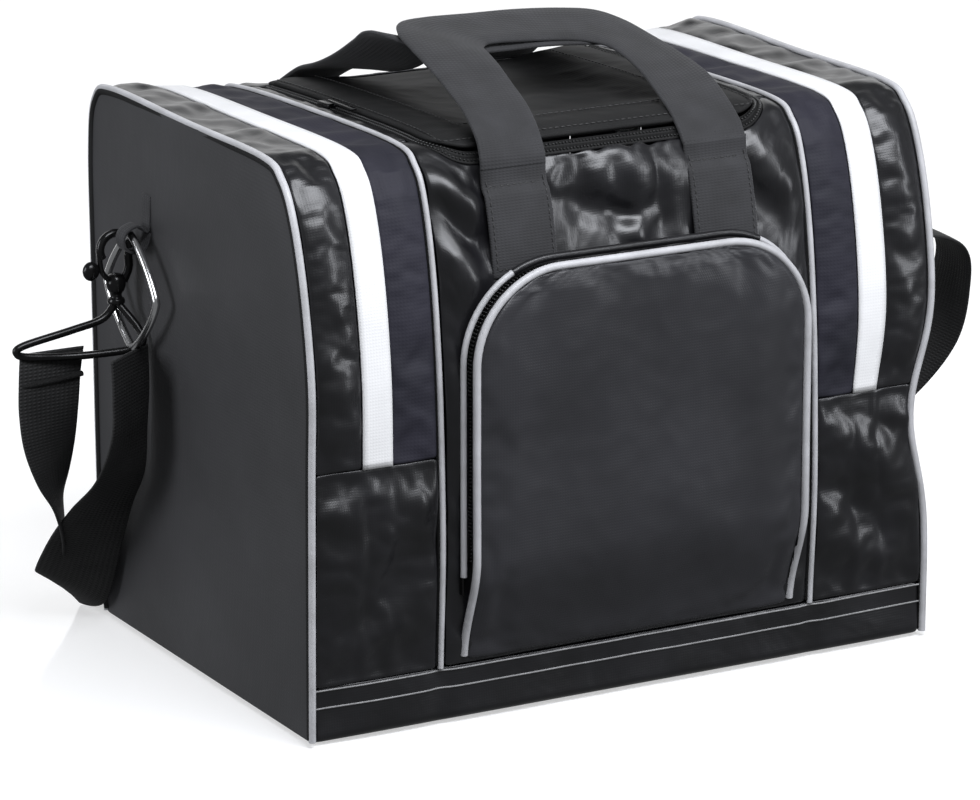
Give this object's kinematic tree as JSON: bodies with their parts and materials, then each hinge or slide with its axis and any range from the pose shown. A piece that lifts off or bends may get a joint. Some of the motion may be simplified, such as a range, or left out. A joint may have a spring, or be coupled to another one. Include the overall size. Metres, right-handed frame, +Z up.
{
  "type": "skate bag",
  "caption": "Box-shaped zipped carry bag with rounded top edges, white side stripes, front zip pocket, two webbing handles and a clip-on shoulder strap.",
  "frame": {"origin": "middle of the bag's flat base, on the floor", "axes": "+X along the width, towards the right seen from the front; -Y is the front with the pocket; +Z up"},
  "size_m": [0.615, 0.2955, 0.3426],
  "materials": {
    "charcoal_panel": "matte coated nylon, charcoal",
    "pocket_face": "semi-matte coated fabric, dark grey",
    "gloss_black": "glossy coated fabric, crinkled, black",
    "slate_matte": "matte woven fabric, dark slate",
    "white_tape": "flat woven tape, white",
    "grey_piping": "smooth vinyl piping, light grey",
    "matt_black": "matte woven fabric, black",
    "webbing": "woven webbing, charcoal",
    "zip_black": "zip tape and coil, black",
    "strap_black": "woven strap webbing, black",
    "nickel": "bright nickel-plated wire",
    "black_metal": "glossy black-plated metal"
  },
  "bodies": {
    "shell": {"end_panel_left": "charcoal_panel", "end_panel_right": "charcoal_panel", "end_piping_left": "grey_piping", "end_piping_right": "grey_piping", "gloss_strip_left": "gloss_black", "gloss_strip_right": "gloss_black", "stripe_left": "white_tape", "stripe_right": "white_tape", "matte_strip_left": "slate_matte", "matte_strip_right": "slate_matte", "lower_front_left": "gloss_black", "lower_front_right": "gloss_black", "lower_back_left": "gloss_black", "lower_back_right": "gloss_black", "centre_piping_left": "grey_piping", "centre_piping_right": "grey_piping", "centre_front_panel": "gloss_black", "centre_back_panel": "gloss_black", "top_gusset_left": "gloss_black", "top_gusset_right": "gloss_black", "base_pan": "gloss_black", "base_board": "matt_black", "bag_zip_half": "zip_black", "front_leg_left": "webbing", "front_leg_right": "webbing", "rear_leg_left": "webbing", "rear_leg_right": "webbing", "pocket_back_gusset": "gloss_black", "pocket_zip_back": "zip_black", "pocket_base_piping": "grey_piping", "ring_tab_left": "webbing", "ring_tab_right": "webbing", "strap_left": "strap_black", "strap_back": "strap_black", "strap_right": "strap_black"},
    "lid": {"lid_panel": "matt_black", "lid_zip_half": "zip_black"},
    "top_slider": {"top_slider": "black_metal"},
    "top_pull": {"top_pull": "black_metal"},
    "pocket_flap": {"pocket_face": "pocket_face", "pocket_front_gusset": "gloss_black", "pocket_zip_front": "zip_black", "pocket_face_piping": "grey_piping"},
    "pocket_slider": {"pocket_slider": "black_metal"},
    "pocket_pull": {"pocket_pull": "black_metal"},
    "handle_front": {"handle_front": "webbing"},
    "handle_rear": {"handle_rear": "webbing"},
    "ring_left": {"ring_left": "nickel"},
    "hook_left": {"hook_left": "black_metal"},
    "hook_gate_left": {"hook_gate_left": "black_metal"},
    "strap_eye_left": {"strap_eye_left": "black_metal"},
    "ring_right": {"ring_right": "nickel"},
    "hook_right": {"hook_right": "black_metal"},
    "hook_gate_right": {"hook_gate_right": "black_metal"},
    "strap_eye_right": {"strap_eye_right": "black_metal"}
  },
  "joints": [
    {"name": "lid_open", "type": "hinge", "parent": "shell", "child": "lid", "pos_m": [0, 0.093, 0.3003], "axis": [-1, 0, 0], "range_deg": [0, 105], "deforming": ["handle_front", "handle_rear"]},
    {"name": "top_slider_slide", "type": "slide", "parent": "lid", "child": "top_slider", "axis": [0, 1, 0], "range_m": [-0.085, 0.055]},
    {"name": "top_pull_swing", "type": "hinge", "parent": "top_slider", "child": "top_pull", "pos_m": [-0.10225, 0.009, 0.3019], "axis": [-1, 0, 0], "range_deg": [0, 170]},
    {"name": "pocket_open", "type": "hinge", "parent": "shell", "child": "pocket_flap", "pos_m": [0, -0.1274, 0.033], "axis": [1, 0, 0], "range_deg": [0, 95]},
    {"name": "pocket_slider_slide", "type": "slide", "parent": "pocket_flap", "child": "pocket_slider", "axis": [0, 0, 1], "range_m": [0, 0.09]},
    {"name": "pocket_pull_swing", "type": "hinge", "parent": "pocket_slider", "child": "pocket_pull", "pos_m": [-0.102, -0.1314, 0.096], "axis": [0, 1, 0], "range_deg": [0, 160]},
    {"name": "handle_front_swing", "type": "hinge", "parent": "shell", "child": "handle_front", "pos_m": [0, -0.1085, 0.2905], "axis": [-1, 0, 0], "range_deg": [-200, 0]},
    {"name": "handle_rear_swing", "type": "hinge", "parent": "shell", "child": "handle_rear", "pos_m": [0, 0.1172, 0.2915], "axis": [1, 0, 0], "range_deg": [-200, 0]},
    {"name": "ring_left_swing", "type": "hinge", "parent": "shell", "child": "ring_left", "pos_m": [-0.1985, 0.054, 0.2289], "axis": [0, 1, 0], "range_deg": [0, 100], "deforming": ["strap_left", "strap_back"]},
    {"name": "hook_left_swing", "type": "hinge", "parent": "ring_left", "child": "hook_left", "pos_m": [-0.1985, 0.068, 0.218], "axis": [0, 1, 0], "range_deg": [0, 25]},
    {"name": "gate_left_open", "type": "hinge", "parent": "hook_left", "child": "hook_gate_left", "pos_m": [-0.21025, 0.068, 0.2116], "axis": [0, 1, 0], "range_deg": [0, 20], "stiffness_Nm_per_rad": 0.01},
    {"name": "eye_left_swivel", "type": "hinge", "parent": "hook_left", "child": "strap_eye_left", "pos_m": [-0.2011, 0.068, 0.19], "axis": [0, 0, 1], "range_deg": [-50, 50]},
    {"name": "ring_right_swing", "type": "hinge", "parent": "shell", "child": "ring_right", "pos_m": [0.1985, 0.054, 0.2289], "axis": [0, -1, 0], "range_deg": [0, 100], "deforming": ["strap_right"]},
    {"name": "hook_right_swing", "type": "hinge", "parent": "ring_right", "child": "hook_right", "pos_m": [0.1985, 0.068, 0.218], "axis": [0, -1, 0], "range_deg": [0, 25]},
    {"name": "gate_right_open", "type": "hinge", "parent": "hook_right", "child": "hook_gate_right", "pos_m": [0.21025, 0.068, 0.2116], "axis": [0, -1, 0], "range_deg": [0, 20], "stiffness_Nm_per_rad": 0.01},
    {"name": "eye_right_swivel", "type": "hinge", "parent": "hook_right", "child": "strap_eye_right", "pos_m": [0.2011, 0.068, 0.19], "axis": [0, 0, -1], "range_deg": [-50, 50]}
  ]
}
